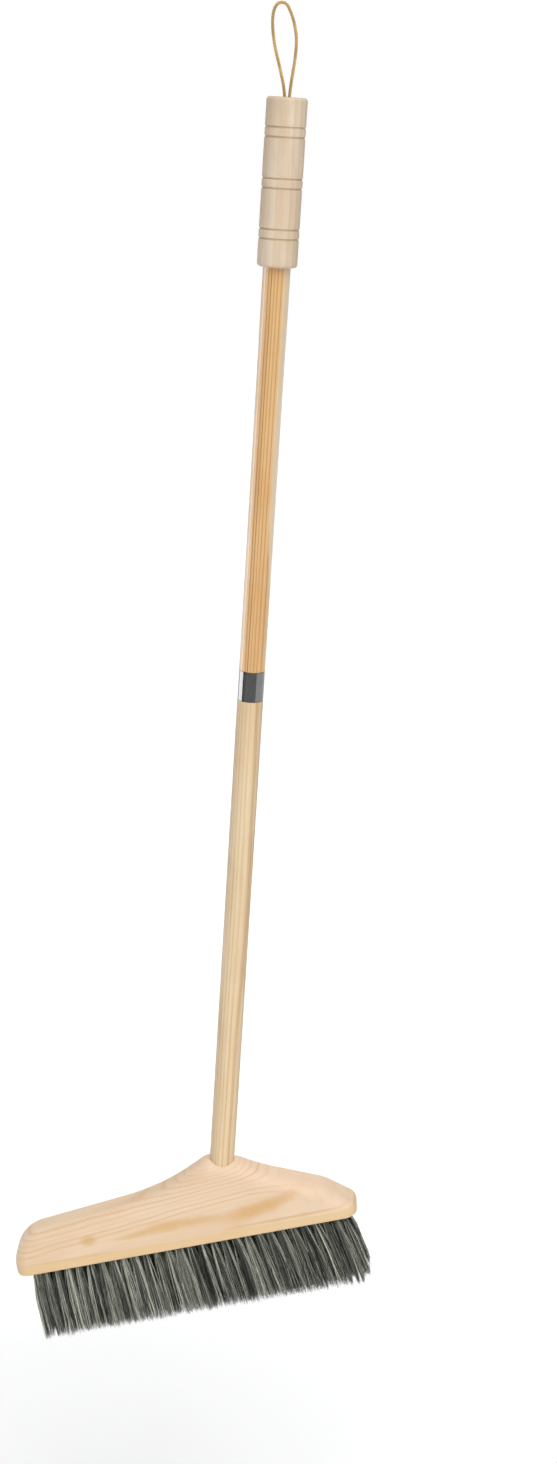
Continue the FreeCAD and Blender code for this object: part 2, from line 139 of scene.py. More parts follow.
def broad_sun(name, strength, spread, direction):
    """An even light from one side, as soft as its spread in degrees is wide."""
    light = bpy.data.lights.new(name, "SUN")
    light.energy = strength
    light.angle = math.radians(spread)
    lamp = bpy.data.objects.new(name, light)
    bpy.context.scene.collection.objects.link(lamp)
    lamp.rotation_euler = Vector(direction).to_track_quat("-Z", "Y").to_euler()


middle = (cad_low + cad_high) / 2
FLOOR_DROP = 0.28
floor_level = cad_low.z - FLOOR_DROP
broad_sun("key", strength=1.85, spread=45, direction=(-0.14, 0.55, -0.8))
broad_sun("crest_light", strength=0.75, spread=70, direction=(0.05, -0.5, -0.85))
gloss_panel("left_panel", place_at=(-1.1, 0.25, middle.z - 0.15), aim_at=middle, width=1.0, height=1.5,
            radiance=2.7)


def studio_card(name, edges, low, high, grey, in_gloss):
    """An upright card through points on the floor plan. It shades reflections, or else the soft light."""
    mesh = bpy.data.meshes.new(name)
    mesh.from_pydata([(x, y, z) for x, y in edges for z in (low, high)], [],
                     [(2 * k, 2 * k + 2, 2 * k + 3, 2 * k + 1) for k in range(len(edges) - 1)])
    card = bpy.data.objects.new(name, mesh)
    bpy.context.scene.collection.objects.link(card)
    mesh.materials.append(new_material(name, Base_Color=(grey, grey, grey, 1), Roughness=1.0)[0])
    card.visible_camera = card.visible_shadow = card.visible_transmission = False
    card.visible_glossy, card.visible_diffuse = in_gloss, not in_gloss


SIDE_CARD_TOP = 0.2
SIDE_CARD_GREY = 0.12
studio_card("front_card", ((-0.85, -0.14), (-0.62, -0.62), (0.0, -0.9), (0.50, -0.48)), floor_level,
            grip_low.z, grey=0.6, in_gloss=True)
for name, edges in (("left_card", ((-0.55, -0.35), (-0.55, 0.6))),
                    ("right_card", ((0.55, -0.25), (0.55, 0.6)))):
    studio_card(name, edges, cad_low.z, SIDE_CARD_TOP, SIDE_CARD_GREY, in_gloss=False)

floor_mesh = bpy.data.meshes.new("studio_floor")
FLOOR_HALF = 9.0
floor_mesh.from_pydata([(-FLOOR_HALF, -FLOOR_HALF, floor_level), (FLOOR_HALF, -FLOOR_HALF, floor_level),
                        (FLOOR_HALF, FLOOR_HALF, floor_level), (-FLOOR_HALF, FLOOR_HALF, floor_level)], [],
                       [(0, 1, 2, 3)])
floor = bpy.data.objects.new("studio_floor", floor_mesh)
bpy.context.scene.collection.objects.link(floor)
floor_mesh.materials.append(new_material("floor_paint", Base_Color=(0.96, 0.96, 0.96, 1), Roughness=0.9)[0])

# ---------------------------------------------------------------- hanging loop
# A thin golden cord of three twisted plies. Both ends go down through the small hole in the grip's top into
# one knot. It is limp, stands up in a teardrop, and is as long as the loop that shows with both tails.
# Control points of the route, across from the grip's middle and up from its top, in millimetres
CORD_ROUTE = [
    (-1.15, -16.0), (-1.25, -5.0), (-2.3, 5.0), (-5.9, 17.5), (-10.3, 31.0), (-12.6, 44.0), (-12.3, 52.7),
    (-9.5, 57.55), (-4.2, 57.5), (-1.0, 52.0), (2.0, 44.5), (3.9, 35.0), (3.5, 23.0), (2.0, 10.5),
    (1.2, -1.0), (1.15, -16.0),
]
PLIES = 3
PLY_RADIUS = 0.00056
PLY_OFFSET = 0.00055
PLY_PITCH = 0.0058
PLY_SIDES = 8
CORD_STEP = 0.0004
CURVE_STEPS = 24


def smooth_line(name, points):
    """Points along the smooth spline that has the given control points."""
    curve = bpy.data.curves.new(name, "CURVE")
    curve.dimensions = "3D"
    curve.resolution_u = CURVE_STEPS
    spline = curve.splines.new("NURBS")
    spline.points.add(len(points) - 1)
    for knot, point in zip(spline.points, points):
        knot.co = (*point, 1.0)
    spline.order_u = 3
    spline.use_endpoint_u = True
    holder = bpy.data.objects.new(name, curve)
    mesh = bpy.data.meshes.new_from_object(holder)
    line = np.array([vertex.co for vertex in mesh.vertices])
    bpy.data.objects.remove(holder)
    bpy.data.curves.remove(curve)
    bpy.data.meshes.remove(mesh)
    return line


def evenly(line, step):
    """The same line with its points a step apart."""
    run = np.concatenate([[0], np.cumsum(np.linalg.norm(np.diff(line, axis=0), axis=1))])
    places = np.linspace(0, run[-1], max(2, int(run[-1] / step)))
    return np.stack([np.interp(places, run, line[:, k]) for k in range(3)], axis=1), run[-1]


def frames_along(line, start_side):
    """For each point of a line, two directions square to it and to each other that don't spin about it."""
    ahead = np.gradient(line, axis=0)
    ahead /= np.linalg.norm(ahead, axis=1)[:, None]
    sides = np.empty_like(line)
    side = np.array(start_side, float)
    for k, direction in enumerate(ahead):
        side = side - direction * (side @ direction)
        side /= np.linalg.norm(side)
        sides[k] = side
    return sides, np.cross(ahead, sides)


def tube_mesh(name, centres, sides, others, radius, count, closed=False):
    """A mesh tube round each of several centre lines, given as an array of lines."""
    vertices, faces = [], []
    angles = np.linspace(0, 2 * math.pi, count, endpoint=False)
    for line in centres:
        first = sum(len(block) for block in vertices)
        ring = (line[:, None] + radius * (np.cos(angles)[None, :, None] * sides[:, None]
                                          + np.sin(angles)[None, :, None] * others[:, None]))
        vertices.append(ring.reshape(-1, 3))
        rings = len(line)
        for k in range(rings if closed else rings - 1):
            here, there = first + k * count, first + (k + 1) % rings * count
            faces += [(here + j, here + (j + 1) % count, there + (j + 1) % count, there + j)
                      for j in range(count)]
        if not closed:
            faces.append(tuple(range(first + count - 1, first - 1, -1)))
            faces.append(tuple(range(first + (rings - 1) * count, first + rings * count)))
    mesh = bpy.data.meshes.new(name)
    mesh.from_pydata(np.concatenate(vertices).tolist(), [], faces)
    mesh.polygons.foreach_set("use_smooth", [True] * len(mesh.polygons))
    return mesh


def put_in_scene(name, mesh, material):
    """A new object with one material."""
    piece = bpy.data.objects.new(name, mesh)
    bpy.context.scene.collection.objects.link(piece)
    mesh.materials.append(material)
    return piece


def roughen(tree, shader, height, strength, depth):
    """Raises a material's surface by a height value, without changing the mesh."""
    bump = place(tree, "ShaderNodeBump", {"Height": height, "Strength": strength, "Distance": depth})
    tree.links.new(bump.outputs[0], shader.inputs["Normal"])


route = [(axis_x + x / 1000, 0.0, grip_high.z + z / 1000) for x, z in CORD_ROUTE]
cord_line, cord_length = evenly(smooth_line("loop_route", route), CORD_STEP)
side, other = frames_along(cord_line, (0, 1, 0))
turn = np.arange(len(cord_line)) * CORD_STEP / PLY_PITCH * 2 * math.pi
plies = []
for ply in range(PLIES):
    phase = (turn + ply * 2 * math.pi / PLIES)[:, None]
    plies.append(cord_line + PLY_OFFSET * (np.cos(phase) * side + np.sin(phase) * other))

cord_paint, tree, shader = new_material("waxed_cord", Roughness=0.42, Coat_Weight=0.25, Coat_Roughness=0.3)
where = place(tree, "ShaderNodeTexCoord").outputs["Object"]
patches = place(tree, "ShaderNodeTexNoise", {"Vector": where, "Scale": 95.0, "Detail": 2.0})
fibres = place(tree, "ShaderNodeTexNoise", {"Vector": where, "Scale": 2600.0, "Detail": 3.0,
                                            "Roughness": 0.6})
worn = place(tree, "ShaderNodeMapRange", {"Value": patches.outputs[0], "From Min": 0.38, "From Max": 0.62},
             interpolation_type="SMOOTHSTEP")
gold = place(tree, "ShaderNodeMix", {0: worn.outputs[0], 6: linear(212, 164, 84), 7: linear(156, 116, 62)},
             data_type="RGBA")
hairy = place(tree, "ShaderNodeMix", {0: fibres.outputs[0], 6: linear(196, 156, 92),
                                      7: linear(238, 208, 142)}, data_type="RGBA")
blended = place(tree, "ShaderNodeMix", {0: 0.45, 6: gold.outputs[2], 7: hairy.outputs[2]}, data_type="RGBA")
tree.links.new(blended.outputs[2], shader.inputs["Base Color"])
roughen(tree, shader, fibres.outputs[0], strength=0.35, depth=0.0001)

loop_mesh = tube_mesh("cord_loop", plies, side, other, PLY_RADIUS, PLY_SIDES)
loop = put_in_scene("cord_loop", loop_mesh, cord_paint)
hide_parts("hanging_loop")
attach(loop, "upper_half")

# ---------------------------------------------------------------- knot under the grip's roof
# The two tails are tied into one overhand knot, pulled up against the roof of the bore. It can't pass the
# hole, so it holds the loop.
KNOT_STRAND_RADIUS = 0.00098
KNOT_POINTS = 120
KNOT_SIDES = 10
knot_low, knot_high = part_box("loop_knot")
knot_middle = (knot_low + knot_high) / 2
knot_width = (knot_high.x - knot_low.x) / 2 - KNOT_STRAND_RADIUS
knot_height = (knot_high.z - knot_low.z) / 2 - KNOT_STRAND_RADIUS
angle = np.linspace(0, 2 * math.pi, KNOT_POINTS, endpoint=False)
knot_line = np.array(knot_middle) + np.stack([
    (np.sin(angle) + 2 * np.sin(2 * angle)) * knot_width / 3,
    (np.cos(angle) - 2 * np.cos(2 * angle)) * knot_width / 3,
    -np.sin(3 * angle) * knot_height], axis=1)
knot_side, knot_other = frames_along(knot_line, (0, 0, 1))
knot_mesh = tube_mesh("cord_knot", [knot_line], knot_side, knot_other, KNOT_STRAND_RADIUS, KNOT_SIDES,
                      closed=True)
knot = put_in_scene("cord_knot", knot_mesh, cord_paint)
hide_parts("loop_knot")
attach(knot, "upper_half")


# ---------------------------------------------------------------- grip
# A turned handle of pale close-grained wood, sanded smooth and left bare. Three pairs of thin grooves are
# burned into it by holding a wire against it in the lathe.
def new_group(name, inputs, outputs):
    """An empty node group with named sockets. Inputs are (name, kind, default), outputs (name, kind)."""
    group = bpy.data.node_groups.new(name, "ShaderNodeTree")
    for label, kind, default in inputs:
        socket = group.interface.new_socket(label, in_out="INPUT", socket_type="NodeSocket" + kind)
        if default is not None:
            socket.default_value = default
    for label, kind in outputs:
        group.interface.new_socket(label, in_out="OUTPUT", socket_type="NodeSocket" + kind)
    return group, group.nodes.new("NodeGroupInput"), group.nodes.new("NodeGroupOutput")


def math_node(tree, operation, first, second=0.0):
    """The value of one sum, product or other operation."""
    return place(tree, "ShaderNodeMath", {0: first, 1: second}, operation=operation).outputs[0]


def mixed(tree, share, first, second):
    """A colour between two others."""
    return place(tree, "ShaderNodeMix", {0: share, 6: first, 7: second}, data_type="RGBA").outputs[2]


def tinted(tree, colour, mask, strength, *shade):
    """A colour pulled towards a display shade where a mask is high, at most by the strength."""
    return mixed(tree, math_node(tree, "MULTIPLY", mask, strength), colour, linear(*shade))


def ramp(tree, value, low, high, to_low=0.0, to_high=1.0):
    """A value taken smoothly from one range to another."""
    return place(tree, "ShaderNodeMapRange", {"Value": value, "From Min": low, "From Max": high,
                                              "To Min": to_low, "To Max": to_high},
                 interpolation_type="SMOOTHSTEP").outputs[0]


# Wood fibre along Z: fine streaks, slow drifts of tone, and short dark pores. Widths and lengths are in metres.
DRIFT_LENGTHWISE = 0.22
fibre_group, given, result = new_group(
    "wood_fibre",
    [("Vector", "Vector", None), ("Width", "Float", 0.0005), ("Length", "Float", 0.02),
     ("Drift", "Float", 0.02)],
    [("Streaks", "Float"), ("Pores", "Float"), ("Drift", "Float"), ("Height", "Float")])
per_width = math_node(fibre_group, "DIVIDE", 1.0, given.outputs["Width"])
per_length = math_node(fibre_group, "DIVIDE", 1.0, given.outputs["Length"])
per_drift = math_node(fibre_group, "DIVIDE", 1.0, given.outputs["Drift"])
fine = place(fibre_group, "ShaderNodeVectorMath", {
    0: given.outputs["Vector"],
    1: place(fibre_group, "ShaderNodeCombineXYZ", {0: per_width, 1: per_width, 2: per_length}).outputs[0]},
    operation="MULTIPLY").outputs[0]
slow = place(fibre_group, "ShaderNodeVectorMath", {
    0: given.outputs["Vector"],
    1: place(fibre_group, "ShaderNodeCombineXYZ", {
        0: per_drift, 1: per_drift,
        2: math_node(fibre_group, "MULTIPLY", per_drift, DRIFT_LENGTHWISE)}).outputs[0]},
    operation="MULTIPLY").outputs[0]
streaks = place(fibre_group, "ShaderNodeTexNoise", {"Vector": fine, "Scale": 1.0, "Detail": 4.0,
                                                    "Roughness": 0.62})
pore_field = place(fibre_group, "ShaderNodeTexNoise", {"Vector": fine, "Scale": 2.3, "Detail": 2.0,
                                                       "Roughness": 0.5, "Distortion": 0.3})
pores = ramp(fibre_group, pore_field.outputs[0], 0.62, 0.74)
drift = place(fibre_group, "ShaderNodeTexNoise", {"Vector": slow, "Scale": 1.0, "Detail": 2.0,
                                                  "Roughness": 0.5})
fibre_group.links.new(ramp(fibre_group, streaks.outputs[0], 0.3, 0.7), result.inputs["Streaks"])
fibre_group.links.new(pores, result.inputs["Pores"])
fibre_group.links.new(ramp(fibre_group, drift.outputs[0], 0.32, 0.68), result.inputs["Drift"])
fibre_group.links.new(math_node(fibre_group, "SUBTRACT", streaks.outputs[0], pores), result.inputs["Height"])

# Growth rings over a distance from the pith: each ring darkens slowly through the year and ends sharply.
BENDS_ACROSS = 60.0
LATE_FULL = 0.86
YEAR_ENDS = 0.9
ring_group, given, result = new_group(
    "growth_rings",
    [("Distance", "Float", 0.0), ("Vector", "Vector", None), ("Spacing", "Float", 0.003),
     ("Wander", "Float", 0.0006), ("Wander Length", "Float", 0.12), ("Early Share", "Float", 0.28)],
    [("Latewood", "Float"), ("Ring Tone", "Float")])
stretched = place(ring_group, "ShaderNodeVectorMath", {
    0: given.outputs["Vector"],
    1: place(ring_group, "ShaderNodeCombineXYZ", {
        0: BENDS_ACROSS, 1: BENDS_ACROSS,
        2: math_node(ring_group, "DIVIDE", 1.0, given.outputs["Wander Length"])}).outputs[0]},
    operation="MULTIPLY").outputs[0]
bent = place(ring_group, "ShaderNodeTexNoise", {"Vector": stretched, "Scale": 1.0, "Detail": 2.0,
                                                "Roughness": 0.45})
off = math_node(ring_group, "MULTIPLY", math_node(ring_group, "SUBTRACT", bent.outputs[0], 0.5),
                math_node(ring_group, "MULTIPLY", given.outputs["Wander"], 4.0))
count = math_node(ring_group, "DIVIDE", math_node(ring_group, "ADD", given.outputs["Distance"], off),
                  given.outputs["Spacing"])
year = math_node(ring_group, "FRACT", count)
late = math_node(ring_group, "MULTIPLY", ramp(ring_group, year, given.outputs["Early Share"], LATE_FULL),
                 ramp(ring_group, year, YEAR_ENDS, 1.0, 1.0, 0.0))
tone = place(ring_group, "ShaderNodeTexWhiteNoise", {"W": math_node(ring_group, "FLOOR", count)},
             noise_dimensions="1D").outputs["Value"]
ring_group.links.new(late, result.inputs["Latewood"])
ring_group.links.new(tone, result.inputs["Ring Tone"])

# Handling: faint smudges that dull the surface and grey the wood a little, patch by patch.
handling_group, given, result = new_group(
    "handling_marks", [("Vector", "Vector", None), ("Patch Size", "Float", 0.03)], [("Smudge", "Float")])
spread = place(handling_group, "ShaderNodeVectorMath", {
    0: given.outputs["Vector"],
    "Scale": math_node(handling_group, "DIVIDE", 1.0, given.outputs["Patch Size"])},
    operation="SCALE").outputs[0]
smudge = place(handling_group, "ShaderNodeTexNoise", {"Vector": spread, "Scale": 1.0, "Detail": 5.0,
                                                      "Roughness": 0.6, "Distortion": 0.6})
handling_group.links.new(ramp(handling_group, smudge.outputs[0], 0.45, 0.75), result.inputs["Smudge"])


def use_group(tree, group, **inputs):
    """One of the groups placed in a material. An underscore in an input's name stands for a space."""
    node = place(tree, "ShaderNodeGroup", node_tree=group)
    for name, value in inputs.items():
        socket = node.inputs[name.replace("_", " ")]
        if isinstance(value, bpy.types.NodeSocket):
            tree.links.new(value, socket)
        else:
            socket.default_value = value
    return node.outputs


def object_vector(tree, shift=(0.0, 0.0, 0.0), turn_y=0.0):
    """The surface's place, measured from a point of the piece and turned about the Y axis."""
    where = place(tree, "ShaderNodeTexCoord").outputs["Object"]
    moved = place(tree, "ShaderNodeVectorMath", {0: where, 1: shift}, operation="SUBTRACT").outputs[0]
    return place(tree, "ShaderNodeVectorRotate", {"Vector": moved, "Angle": turn_y},
                 rotation_type="Y_AXIS").outputs[0]


def distance_from(tree, vector, centre, stretch=(1.0, 1.0, 0.0)):
    """How far a place is from a centre, with each direction stretched by its own factor."""
    apart = place(tree, "ShaderNodeVectorMath", {0: vector, 1: centre}, operation="SUBTRACT").outputs[0]
    scaled = place(tree, "ShaderNodeVectorMath", {0: apart, 1: stretch}, operation="MULTIPLY").outputs[0]
    return place(tree, "ShaderNodeVectorMath", {0: scaled}, operation="LENGTH").outputs["Value"]


def dull(tree, shader, marks, clean, gain):
    """Sets the roughness: its value on clean wood or metal, and how much the smudges add."""
    tree.links.new(math_node(tree, "ADD", clean, math_node(tree, "MULTIPLY", marks["Smudge"], gain)),
                   shader.inputs["Roughness"])


def paint(node_name, material):
    """Gives a carried-over CAD node its one material."""
    mesh = nodes[node_name].data
    mesh.materials.clear()
    mesh.materials.append(material)


GRIP_RADIUS = (grip_high.x - grip_low.x) / 2
GROOVE_BOTTOM = 0.0005
GROOVE_LIP = 0.00008
GROOVE_SIDE = 0.0012
BORE_SIDE = 0.0016
grip_wood, tree, shader = new_material("grip_wood", Roughness=0.6, Specular_IOR_Level=0.3)
grip_place = object_vector(tree, (axis_x, 0.0, grip_low.z))
fibre = use_group(tree, fibre_group, Vector=grip_place, Width=0.0007, Length=0.03, Drift=0.012)
rings = use_group(tree, ring_group, Distance=distance_from(tree, grip_place, (0.03, 0.05, 0.0)),
                  Vector=grip_place, Spacing=0.0042, Wander=0.0008)
marks = use_group(tree, handling_group, Vector=grip_place, Patch_Size=0.022)
colour = mixed(tree, fibre["Drift"], linear(226, 208, 184), linear(216, 194, 166))
colour = tinted(tree, colour, rings["Latewood"], 0.4, 204, 172, 136)
colour = tinted(tree, colour, fibre["Streaks"], 0.3, 232, 214, 190)
colour = tinted(tree, colour, fibre["Pores"], 0.18, 176, 142, 106)
colour = tinted(tree, colour, marks["Smudge"], 0.14, 186, 164, 136)
from_axis = distance_from(tree, grip_place, (0.0, 0.0, 0.0))
burned = ramp(tree, from_axis, GRIP_RADIUS - GROOVE_BOTTOM, GRIP_RADIUS - GROOVE_LIP, 1.0, 0.0)
outside = ramp(tree, from_axis, GRIP_RADIUS - BORE_SIDE, GRIP_RADIUS - GROOVE_SIDE)
up_the_grip = place(tree, "ShaderNodeSeparateXYZ", {0: grip_place}).outputs["Z"]
clear_of_ends = math_node(tree, "MULTIPLY", ramp(tree, up_the_grip, 0.004, 0.006),
                          ramp(tree, up_the_grip, 0.102, 0.104, 1.0, 0.0))
scorch = math_node(tree, "MULTIPLY", math_node(tree, "MULTIPLY", burned, outside), clear_of_ends)
scorch = math_node(tree, "MULTIPLY", scorch, ramp(tree, fibre["Streaks"], -0.6, 1.0, 0.7, 1.0))
colour = tinted(tree, colour, scorch, 0.36, 164, 120, 74)
# The top of the grip is darkened: partly the end grain's own tone, partly painted shade along the top edge
# where it turns away.
end_grain_and_shade = ramp(tree, up_the_grip, 0.1068, 0.1079)
colour = tinted(tree, colour, end_grain_and_shade, 0.55, 188, 160, 126)
tree.links.new(colour, shader.inputs["Base Color"])
dull(tree, shader, marks, 0.56, 0.12)
roughen(tree, shader, fibre["Height"], strength=0.25, depth=0.00012)
paint("grip", grip_wood)


# ---------------------------------------------------------------- upper pole
# A dowel of tight, straight-grained pine under clear lacquer. Its rings stand nearly square to the front, so
# the front shows eight or nine dark lines, and paler sapwood runs down its right side.
def late_wood(tree, rings, faint, strong):
    """How much of the late wood's tint each ring takes, from faint to strong by the ring's own tone."""
    return math_node(tree, "MULTIPLY", rings["Latewood"],
                     ramp(tree, rings["Ring Tone"], 0.0, 1.0, faint, strong))


lacquered_pine, tree, shader = new_material("lacquered_pine", Roughness=0.4, Coat_Weight=0.7,
                                             Coat_Roughness=0.2)
pole_place = object_vector(tree, (axis_x, 0.0, 0.0))
across = place(tree, "ShaderNodeSeparateXYZ", {0: pole_place}).outputs
fibre = use_group(tree, fibre_group, Vector=pole_place, Width=0.0004, Length=0.045, Drift=0.016)
pith = distance_from(tree, pole_place, (-0.075, 0.02, -0.2), (1.0, 1.0, 0.018))
rings = use_group(tree, ring_group, Distance=pith, Vector=pole_place, Spacing=0.00205, Wander=0.0003,
                  Wander_Length=0.2, Early_Share=0.45)
marks = use_group(tree, handling_group, Vector=pole_place, Patch_Size=0.03)
colour = mixed(tree, fibre["Drift"], linear(226, 180, 116), linear(216, 164, 98))
late_share = late_wood(tree, rings, 0.55, 1.0)
colour = mixed(tree, late_share, colour, linear(162, 98, 44))
colour = tinted(tree, colour, fibre["Streaks"], 0.3, 240, 204, 150)
sap_edge = math_node(tree, "ADD", ramp(tree, across["Z"], -0.43, -0.33, 0.0102, 0.0052),
                     math_node(tree, "MULTIPLY", fibre["Drift"], 0.0006))
sapwood = ramp(tree, math_node(tree, "SUBTRACT", across["X"], sap_edge), -0.0004, 0.0006)
colour = tinted(tree, colour, sapwood, 0.75, 232, 212, 180)
colour = tinted(tree, colour, fibre["Pores"], 0.25, 150, 96, 50)
tree.links.new(colour, shader.inputs["Base Color"])
dull(tree, shader, marks, 0.34, 0.16)
roughen(tree, shader, fibre["Height"], strength=0.15, depth=0.00008)
paint("upper_pole", lacquered_pine)

# ---------------------------------------------------------------- ferrule
# A thin steel sleeve, blackened and polished, glued to the upper pole. The lower pole turns in its other half.
# Both rims carry painted shade where the rolled edges turn away from the light, and fine lines run round it
# from the lathe.
ferrule_low, ferrule_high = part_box("ferrule")
polished_steel, tree, shader = new_material("polished_dark_steel", Metallic=1.0, Roughness=0.2)
ferrule_place = object_vector(tree, (axis_x, 0.0, (ferrule_low.z + ferrule_high.z) / 2))
round_lines = place(tree, "ShaderNodeTexNoise", {
    "Vector": place(tree, "ShaderNodeVectorMath", {0: ferrule_place, 1: (60.0, 60.0, 9000.0)},
                    operation="MULTIPLY").outputs[0],
    "Scale": 1.0, "Detail": 3.0, "Roughness": 0.7}).outputs[0]
marks = use_group(tree, handling_group, Vector=ferrule_place, Patch_Size=0.006)
half_ferrule = (ferrule_high.z - ferrule_low.z) / 2
up_the_ferrule = place(tree, "ShaderNodeSeparateXYZ", {0: ferrule_place}).outputs["Z"]
rim_shade = ramp(tree, math_node(tree, "ABSOLUTE", up_the_ferrule), half_ferrule - 0.0007, half_ferrule - 0.00025)
colour = mixed(tree, round_lines, (0.17, 0.168, 0.172, 1), (0.23, 0.228, 0.232, 1))
colour = mixed(tree, math_node(tree, "MULTIPLY", marks["Smudge"], 0.4), colour, (0.15, 0.14, 0.125, 1))
# Painted shade: both rims are darkened where the rolled edges turn away from the light.
colour = mixed(tree, math_node(tree, "MULTIPLY", rim_shade, 0.7), colour, (0.06, 0.056, 0.05, 1))
tree.links.new(colour, shader.inputs["Base Color"])
dull(tree, shader, marks, math_node(tree, "MULTIPLY", round_lines, 0.1), 0.12)
roughen(tree, shader, round_lines, strength=0.12, depth=0.00003)
paint("ferrule", polished_steel)

# ---------------------------------------------------------------- screw joint
# A plated insert is glued into the upper pole, and a stud screws into it. The stud's thread shows when the two
# halves are apart.
SCREW_PITCH = 0.002
plated_steel, tree, shader = new_material("plated_steel", Metallic=1.0, Roughness=0.3)
stud_place = object_vector(tree, (axis_x, 0.0, 0.0))
marks = use_group(tree, handling_group, Vector=stud_place, Patch_Size=0.004)
colour = mixed(tree, marks["Smudge"], (0.6, 0.57, 0.5, 1), (0.36, 0.33, 0.28, 1))
tree.links.new(colour, shader.inputs["Base Color"])
dull(tree, shader, marks, 0.24, 0.2)
stud_axes = place(tree, "ShaderNodeSeparateXYZ", {0: stud_place}).outputs
around = math_node(tree, "DIVIDE", math_node(tree, "ARCTAN2", stud_axes["Y"], stud_axes["X"]), 2 * math.pi)
turns_up = math_node(tree, "DIVIDE", stud_axes["Z"], SCREW_PITCH)
thread = math_node(tree, "PINGPONG", math_node(tree, "ADD", turns_up, around), 0.5)
roughen(tree, shader, thread, strength=0.9, depth=0.0012)
paint("joint_insert", plated_steel)
paint("joint_stud", plated_steel)

# ---------------------------------------------------------------- lower pole
# A second dowel, of plain pale pine sanded and left bare. Its grain is wider and runs out slowly along its
# length.
bare_pine, tree, shader = new_material("bare_pine", Roughness=0.55, Specular_IOR_Level=0.3,
                                        Coat_Weight=0.08, Coat_Roughness=0.35)
pole_place = object_vector(tree, (axis_x, 0.0, ferrule_low.z))
across = place(tree, "ShaderNodeSeparateXYZ", {0: pole_place}).outputs
fibre = use_group(tree, fibre_group, Vector=pole_place, Width=0.0008, Length=0.07, Drift=0.02)
pith = distance_from(tree, pole_place, (-0.05, 0.03, -0.1), (1.0, 1.0, 0.035))
rings = use_group(tree, ring_group, Distance=pith, Vector=pole_place, Spacing=0.0026, Wander=0.0006,
                  Wander_Length=0.16, Early_Share=0.45)
marks = use_group(tree, handling_group, Vector=pole_place, Patch_Size=0.03)
colour = mixed(tree, fibre["Drift"], linear(228, 205, 168), linear(220, 190, 150))
colour = mixed(tree, ramp(tree, across["Z"], -0.36, 0.0, 0.35, 0.0), colour, linear(216, 184, 140))
late_share = late_wood(tree, rings, 0.4, 0.9)
colour = mixed(tree, late_share, colour, linear(198, 154, 100))
colour = tinted(tree, colour, fibre["Streaks"], 0.35, 244, 226, 194)
colour = tinted(tree, colour, fibre["Pores"], 0.2, 182, 140, 92)
colour = tinted(tree, colour, marks["Smudge"], 0.1, 190, 164, 128)
tree.links.new(colour, shader.inputs["Base Color"])
dull(tree, shader, marks, 0.54, 0.14)
roughen(tree, shader, fibre["Height"], strength=0.22, depth=0.0001)
paint("lower_pole", bare_pine)


# ---------------------------------------------------------------- head block
# One board of pine, sawn and sanded to its lopsided shape, bare. The saw cut through rings that close over a
# resin-stained flame on the short side, so the grain rises to the neck and falls to the nose.
def points_of(node_name):
    """A CAD node's vertices as an array."""
    mesh = nodes[node_name].data
    flat = np.empty(len(mesh.vertices) * 3)
    mesh.vertices.foreach_get("co", flat)
    return flat.reshape(-1, 3)


ROWS = sum(name.startswith("anchors_row_") for name in nodes)
middle_row = points_of("anchors_row_%d" % (ROWS // 2 + 1))
along = np.linalg.svd(middle_row - middle_row.mean(0), full_matrices=False)[2][0]
along *= np.sign(along[0])
up = np.array([-along[2], 0.0, along[0]])
base_offset = (points_of("head_block") @ up).min()
base_point = (axis_x, 0.0, (base_offset - axis_x * up[0]) / up[2])
base_tilt = math.atan2(along[2], along[0])

# Stained streaks and the knot's shadow: place along the base and up from it, half sizes, lean, strength, tint
STAINS = [
    ((-0.0958, 0.0200), (0.0062, 0.0044), 0.0, 0.6, (208, 162, 100)),
    ((-0.060, 0.0178), (0.018, 0.0026), 0.06, 0.65, (214, 172, 114)),
    ((-0.032, 0.0202), (0.023, 0.0052), 0.04, 0.75, (212, 172, 112)),
    ((-0.006, 0.0200), (0.022, 0.0040), -0.03, 0.6, (212, 172, 116)),
    ((0.031, 0.0202), (0.023, 0.0068), 0.1, 0.75, (212, 164, 104)),
    ((0.052, 0.0246), (0.024, 0.0052), 0.22, 0.55, (212, 166, 108)),
    ((0.060, 0.0098), (0.050, 0.0014), 0.01, 0.6, (208, 164, 112)),
    ((-0.112, 0.0080), (0.045, 0.0013), -0.01, 0.45, (208, 168, 118)),
]
board_pine, tree, shader = new_material("board_pine", Roughness=0.55, Specular_IOR_Level=0.3,
                                         Coat_Weight=0.06, Coat_Roughness=0.35)
board = object_vector(tree, base_point, base_tilt)
axes = place(tree, "ShaderNodeSeparateXYZ", {0: board}).outputs
grain = place(tree, "ShaderNodeCombineXYZ", {0: axes["Y"], 1: axes["Z"], 2: axes["X"]}).outputs[0]
fibre = use_group(tree, fibre_group, Vector=grain, Width=0.0006, Length=0.03, Drift=0.02)
marks = use_group(tree, handling_group, Vector=board, Patch_Size=0.03)
FLAME = (0.034, 0.0180)
FLAME_LONGER_RIGHT = 2.6
FLAME_LONGER_LEFT = 30.0
HEART_RISE = 0.1
HEART_ACROSS = 0.15
HILL_UNIT = 0.0088
beyond = math_node(tree, "SUBTRACT", axes["X"], FLAME[0])
short_of = math_node(tree, "MINIMUM", beyond, 0.0)
reach = math_node(tree, "ADD", math_node(tree, "DIVIDE", math_node(tree, "MAXIMUM", beyond, 0.0),
                                         FLAME_LONGER_RIGHT),
                  math_node(tree, "DIVIDE", short_of, FLAME_LONGER_LEFT))
heart_line = math_node(tree, "SUBTRACT", axes["Z"], math_node(tree, "MULTIPLY", short_of, HEART_RISE))
hill = distance_from(tree, place(tree, "ShaderNodeCombineXYZ", {
    0: reach, 1: math_node(tree, "MULTIPLY", axes["Y"], HEART_ACROSS), 2: heart_line}).outputs[0],
    (0.0, 0.0, FLAME[1]), (1.0, 1.0, 1.0))
widening = math_node(tree, "POWER", math_node(tree, "DIVIDE", hill, HILL_UNIT), 1.45)
